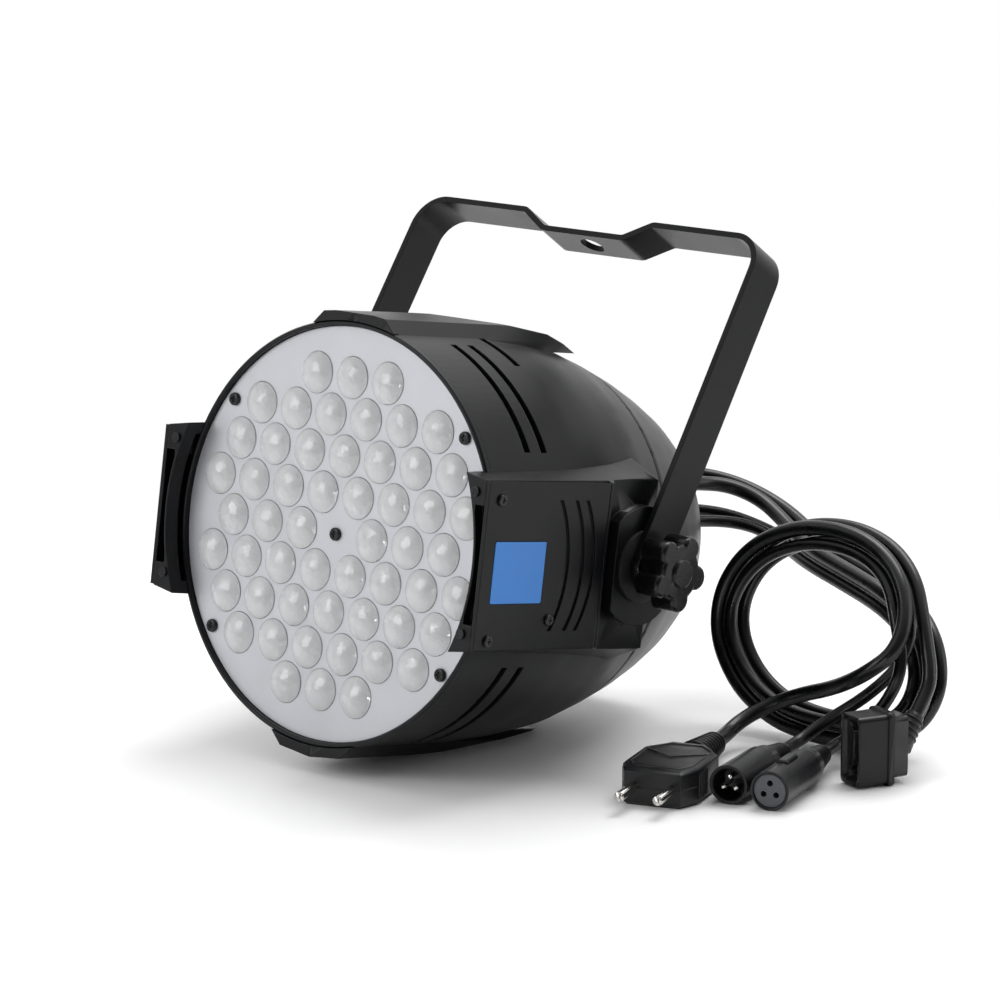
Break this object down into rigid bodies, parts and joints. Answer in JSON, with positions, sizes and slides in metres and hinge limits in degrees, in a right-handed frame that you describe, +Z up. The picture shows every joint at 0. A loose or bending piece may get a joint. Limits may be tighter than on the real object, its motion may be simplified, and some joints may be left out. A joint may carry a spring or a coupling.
{
  "type": "par can stage light",
  "caption": "Round cast stage light with a field of small LED lenses, a flat-bar hanging yoke with clamping knobs, and short power and data leads.",
  "frame": {"origin": "on the floor, under the middle of the box round the lamp, yoke and knobs, at rest on the flat under its bottom rib", "axes": "+Z up, +X along the yoke pivots towards the side with the leads, -Y towards where the lenses face"},
  "size_m": [0.3625, 0.2946, 0.249],
  "materials": {
    "black_casting": "satin black powder coat",
    "black_steel": "satin black powder coat",
    "plate_silver": "light grey matt",
    "lens_clear": "clear moulded",
    "holder_white": "matt",
    "led_yellow": "satin",
    "bare_aluminium": "mill",
    "zinc_steel": "zinc plated",
    "black_screw": "black zinc",
    "board_green": "solder mask",
    "winding_yellow": "tape",
    "capacitor_blue": "sleeve",
    "ferrite_grey": "ferrite",
    "window_tint": "tinted acrylic",
    "display_black": "matt",
    "button_grey": "matt",
    "fan_black": "matt",
    "gland_black": "matt",
    "label_blue": "bare label plate",
    "rubber_black": "matt",
    "knob_black": "satin",
    "cable_pvc": "satin PVC",
    "plug_black": "satin",
    "contact_nickel": "nickel plated",
    "insert_grey": "matt"
  },
  "bodies": {
    "lamp": {"body_left": "black_casting", "body_right": "black_casting", "capacitors": "capacitor_blue", "case_screws": "black_screw", "control_board": "board_green", "cord_dmx_in": "cable_pvc", "cord_dmx_out": "cable_pvc", "cord_mains_in": "cable_pvc", "cord_mains_out": "cable_pvc", "display_module": "display_black", "display_window": "window_tint", "driver_board": "board_green", "fan_frame": "fan_black", "friction_washers": "rubber_black", "front_bezel": "black_casting", "heat_sink": "bare_aluminium", "inductors": "ferrite_grey", "label_plate": "label_blue", "led_board": "bare_aluminium", "led_emitters": "led_yellow", "lens_holders": "holder_white", "lens_plate": "plate_silver", "lenses": "lens_clear", "mid_plate": "zinc_steel", "pivot_bushes": "zinc_steel", "plate_posts": "zinc_steel", "plate_screws": "black_screw", "plug_body": "plug_black", "plug_pins": "contact_nickel", "power_board": "board_green", "rear_cap": "black_casting", "rear_panel": "black_steel", "side_box_left": "black_casting", "side_box_right": "black_casting", "side_cover_left": "black_casting", "side_cover_right": "black_casting", "socket_body": "plug_black", "standoffs": "zinc_steel", "strain_relief_dmx_in": "gland_black", "strain_relief_dmx_out": "gland_black", "strain_relief_mains_in": "gland_black", "strain_relief_mains_out": "gland_black", "tact_switches": "display_black", "transformer": "winding_yellow", "xlr_female_insert": "insert_grey", "xlr_female_shell": "plug_black", "xlr_male_pins": "contact_nickel", "xlr_male_shell": "plug_black"},
    "yoke": {"yoke": "black_steel", "steel_washers": "zinc_steel"},
    "knob_left": {"knob_left": "knob_black", "knob_stud_left": "zinc_steel"},
    "knob_right": {"knob_right": "knob_black", "knob_stud_right": "zinc_steel"},
    "fan_rotor": {"fan_rotor": "fan_black"},
    "button_menu": {"button_menu": "button_grey"},
    "button_down": {"button_down": "button_grey"},
    "button_up": {"button_up": "button_grey"},
    "button_enter": {"button_enter": "button_grey"},
    "xlr_latch": {"xlr_latch": "plug_black"}
  },
  "joints": [
    {"name": "yoke_tilt", "type": "hinge", "parent": "lamp", "child": "yoke", "pos_m": [0, -0.00552, 0.09898], "axis": [1, 0, 0], "range_deg": [-40, 125]},
    {"name": "knob_right_turn", "type": "hinge", "parent": "lamp", "child": "knob_right", "pos_m": [0, -0.00552, 0.09898], "axis": [1, 0, 0], "range_deg": [0, 720]},
    {"name": "knob_left_turn", "type": "hinge", "parent": "lamp", "child": "knob_left", "pos_m": [0, -0.00552, 0.09898], "axis": [-1, 0, 0], "range_deg": [0, 720]},
    {"name": "fan_spin", "type": "hinge", "parent": "lamp", "child": "fan_rotor", "pos_m": [0, 0.08753, 0.06027], "axis": [0, 0.9874, -0.1582], "continuous": true},
    {"name": "button_menu_press", "type": "slide", "parent": "lamp", "child": "button_menu", "axis": [0, -0.9874, 0.1582], "range_m": [0, 0.0006], "stiffness_N_per_m": 400},
    {"name": "button_down_press", "type": "slide", "parent": "lamp", "child": "button_down", "axis": [0, -0.9874, 0.1582], "range_m": [0, 0.0006], "stiffness_N_per_m": 400},
    {"name": "button_up_press", "type": "slide", "parent": "lamp", "child": "button_up", "axis": [0, -0.9874, 0.1582], "range_m": [0, 0.0006], "stiffness_N_per_m": 400},
    {"name": "button_enter_press", "type": "slide", "parent": "lamp", "child": "button_enter", "axis": [0, -0.9874, 0.1582], "range_m": [0, 0.0006], "stiffness_N_per_m": 400},
    {"name": "xlr_latch_press", "type": "slide", "parent": "lamp", "child": "xlr_latch", "axis": [0, 0, -1], "range_m": [0, 0.0015], "stiffness_N_per_m": 600}
  ]
}
